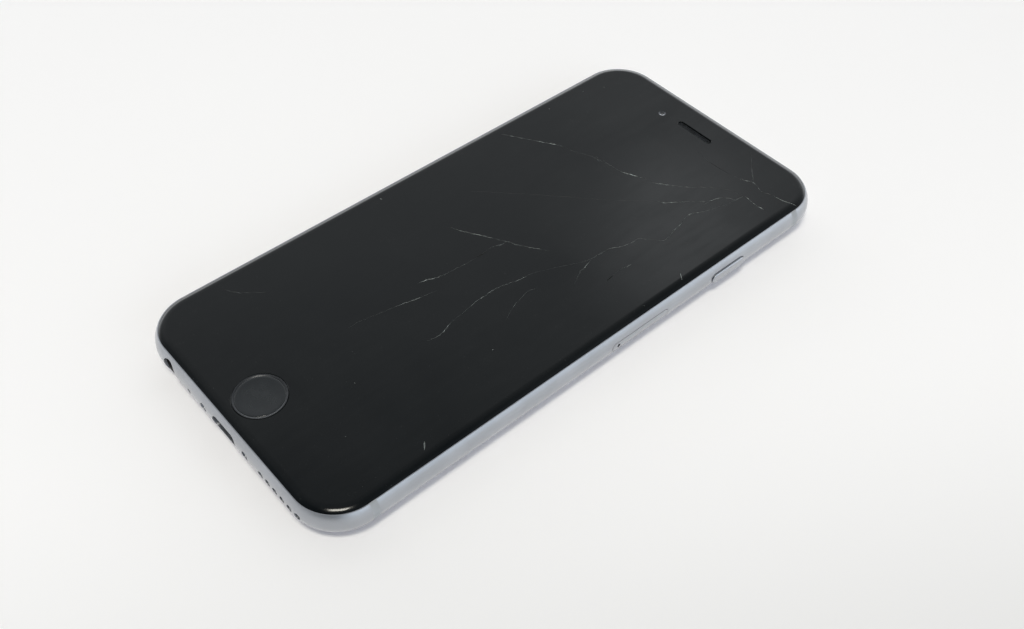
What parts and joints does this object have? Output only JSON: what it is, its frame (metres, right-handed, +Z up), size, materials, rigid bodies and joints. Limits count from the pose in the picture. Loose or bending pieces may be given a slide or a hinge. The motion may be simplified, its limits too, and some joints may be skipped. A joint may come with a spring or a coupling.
{
  "type": "touchscreen phone with cracked screen",
  "caption": "Slim rounded touchscreen phone with a black glass front that is cracked from one top corner, in a grey metal housing.",
  "frame": {"origin": "middle of the footprint, on the surface that the camera ring touches", "axes": "+Z up through the screen, +Y to the earpiece end, +X to the power button side"},
  "size_m": [0.068, 0.1384, 0.0078],
  "materials": {
    "screen_glass": "glossy black-backed glass, cracked",
    "black_frame_plastic": "fine matt",
    "panel_black": "gloss",
    "diffuser_white": "matt",
    "bare_steel": "satin",
    "flex_film": "satin film",
    "button_glass": "gloss",
    "dark_trim_metal": "satin",
    "black_rubber": "matt",
    "dark_mesh": "woven",
    "module_plastic": "matt",
    "lens_black": "gloss",
    "grey_aluminium": "bead blasted and anodised",
    "band_plastic": "satin",
    "polished_trim": "polished",
    "lens_window": "gloss",
    "flash_amber": "gloss",
    "board_laminate": "satin",
    "brass_plated": "satin",
    "chip_black": "matt",
    "battery_wrap": "satin film",
    "white_adhesive": "matt",
    "antenna_plastic": "matt",
    "socket_plastic": "satin",
    "button_aluminium": "anodised",
    "tray_aluminium": "bead blasted and anodised",
    "screw_steel": "satin"
  },
  "bodies": {
    "root": {"cover_glass": "screen_glass", "display_frame": "black_frame_plastic", "lcd_panel": "panel_black", "backlight_unit": "diffuser_white", "display_shield_plate": "bare_steel", "display_flex_cables": "flex_film", "home_button_gasket": "black_rubber", "home_button_switch": "bare_steel", "home_button_bracket": "bare_steel", "earpiece_mesh": "dark_mesh", "earpiece_speaker": "module_plastic", "front_camera": "lens_black", "proximity_sensor": "module_plastic", "earpiece_bracket": "bare_steel", "housing_top": "grey_aluminium", "housing_middle": "grey_aluminium", "housing_bottom": "grey_aluminium", "antenna_bands": "band_plastic", "camera_ring": "polished_trim", "camera_window": "lens_window", "rear_camera_module": "module_plastic", "rear_camera_bracket": "bare_steel", "flash_window": "flash_amber", "flash_led": "flash_amber", "rear_microphone": "dark_mesh", "logic_board": "board_laminate", "board_standoffs": "brass_plated", "board_shields": "bare_steel", "board_chips": "chip_black", "battery": "battery_wrap", "battery_adhesive_strips": "white_adhesive", "battery_lead": "flex_film", "battery_lead_bracket": "bare_steel", "display_plug_bracket": "bare_steel", "upper_antenna": "antenna_plastic", "lower_antenna": "antenna_plastic", "vibration_motor": "bare_steel", "loudspeaker": "module_plastic", "speaker_mesh": "dark_mesh", "bottom_microphone": "dark_mesh", "charging_port": "socket_plastic", "port_flex": "flex_film", "headphone_jack": "socket_plastic", "power_switch": "bare_steel", "volume_switches": "bare_steel", "ring_switch_base": "module_plastic", "sim_reader": "bare_steel", "sim_ejector": "bare_steel", "bottom_screws": "screw_steel", "inner_screws": "screw_steel"},
    "home_button": {"home_button_cap": "button_glass", "home_button_ring": "dark_trim_metal"},
    "power_button": {"power_button": "button_aluminium"},
    "volume_up_button": {"volume_up_button": "button_aluminium"},
    "volume_down_button": {"volume_down_button": "button_aluminium"},
    "ring_switch": {"ring_switch_lever": "button_aluminium"},
    "sim_tray": {"sim_tray": "tray_aluminium"},
    "rear_camera_lens": {"rear_camera_lens": "lens_black"}
  },
  "joints": [
    {"name": "home_button_press", "type": "slide", "parent": "root", "child": "home_button", "axis": [0, 0, -1], "range_m": [0, 0.0003], "stiffness_N_per_m": 400},
    {"name": "power_button_press", "type": "slide", "parent": "root", "child": "power_button", "axis": [-1, 0, 0], "range_m": [0, 0.0003], "stiffness_N_per_m": 400},
    {"name": "volume_up_press", "type": "slide", "parent": "root", "child": "volume_up_button", "axis": [1, 0, 0], "range_m": [0, 0.0003], "stiffness_N_per_m": 400},
    {"name": "volume_down_press", "type": "slide", "parent": "root", "child": "volume_down_button", "axis": [1, 0, 0], "range_m": [0, 0.0003], "stiffness_N_per_m": 400},
    {"name": "ring_switch_slide", "type": "slide", "parent": "root", "child": "ring_switch", "axis": [0, 0, -1], "range_m": [0, 0.0012]},
    {"name": "sim_tray_slide", "type": "slide", "parent": "root", "child": "sim_tray", "axis": [1, 0, 0], "range_m": [0, 0.018]},
    {"name": "camera_focus", "type": "slide", "parent": "root", "child": "rear_camera_lens", "axis": [0, 0, -1], "range_m": [0, 0.0003], "stiffness_N_per_m": 100}
  ]
}
